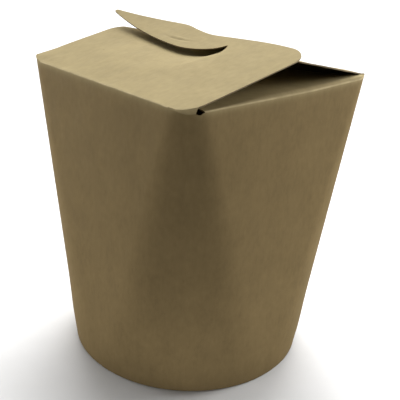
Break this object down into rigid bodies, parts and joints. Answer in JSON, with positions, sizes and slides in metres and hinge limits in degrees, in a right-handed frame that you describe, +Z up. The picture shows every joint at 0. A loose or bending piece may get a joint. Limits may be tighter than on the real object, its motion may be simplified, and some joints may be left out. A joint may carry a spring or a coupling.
{
  "type": "noodle takeaway box",
  "caption": "Folded kraft board noodle box with a round base, walls spreading to a square rim, and a shut low roof of overlapping flaps that holds a hot takeaway meal.",
  "frame": {"origin": "centre of the round base, at the height of the table", "axes": "+Z up; the crease of the uppermost roof flap faces -Y and +X is to the right when facing that side"},
  "size_m": [0.0894, 0.0894, 0.1223],
  "materials": {
    "kraft_board": "matte, uncoated kraft with faint upright fibres and pale worn creases"
  },
  "bodies": {
    "root": {"noodle_box": "kraft_board"}
  },
  "joints": []
}
